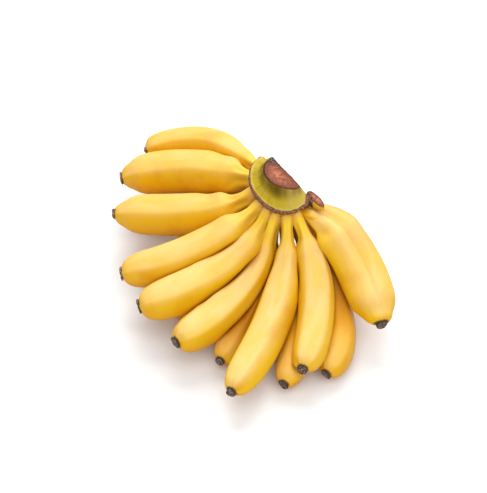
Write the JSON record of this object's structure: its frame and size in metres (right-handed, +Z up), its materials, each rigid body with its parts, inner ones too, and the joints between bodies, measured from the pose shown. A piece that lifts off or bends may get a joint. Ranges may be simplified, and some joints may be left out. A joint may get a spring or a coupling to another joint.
{
  "type": "hand of bananas",
  "caption": "Hand of short plump bananas in two rows on one crown, cut from the bunch and resting on its lower row, with dried flower ends at the tips.",
  "frame": {"origin": "on the surface the hand rests on, under the centre of its box", "axes": "+Z up; the fan of fingers opens towards -X and -Y, and its back cut faces +X and +Y"},
  "size_m": [0.254, 0.2874, 0.1225],
  "materials": {
    "banana_skin": "smooth satin peel",
    "crown_flesh": "green fibrous, rough, with dried red-brown cut faces",
    "dried_flower": "dry, rough, dark"
  },
  "bodies": {
    "root": {"crown": "crown_flesh", "finger_upper_1": "banana_skin", "finger_upper_2": "banana_skin", "finger_upper_3": "banana_skin", "finger_upper_4": "banana_skin", "finger_upper_5": "banana_skin", "finger_upper_6": "banana_skin", "finger_upper_7": "banana_skin", "finger_upper_8": "banana_skin", "finger_upper_9": "banana_skin", "finger_lower_1": "banana_skin", "finger_lower_2": "banana_skin", "finger_lower_3": "banana_skin", "finger_lower_4": "banana_skin", "finger_lower_5": "banana_skin", "finger_lower_6": "banana_skin", "finger_lower_7": "banana_skin", "blossom_upper_1": "dried_flower", "blossom_upper_2": "dried_flower", "blossom_upper_3": "dried_flower", "blossom_upper_4": "dried_flower", "blossom_upper_5": "dried_flower", "blossom_upper_6": "dried_flower", "blossom_upper_7": "dried_flower", "blossom_upper_8": "dried_flower", "blossom_upper_9": "dried_flower", "blossom_lower_1": "dried_flower", "blossom_lower_2": "dried_flower", "blossom_lower_3": "dried_flower", "blossom_lower_4": "dried_flower", "blossom_lower_5": "dried_flower", "blossom_lower_6": "dried_flower", "blossom_lower_7": "dried_flower"}
  },
  "joints": []
}
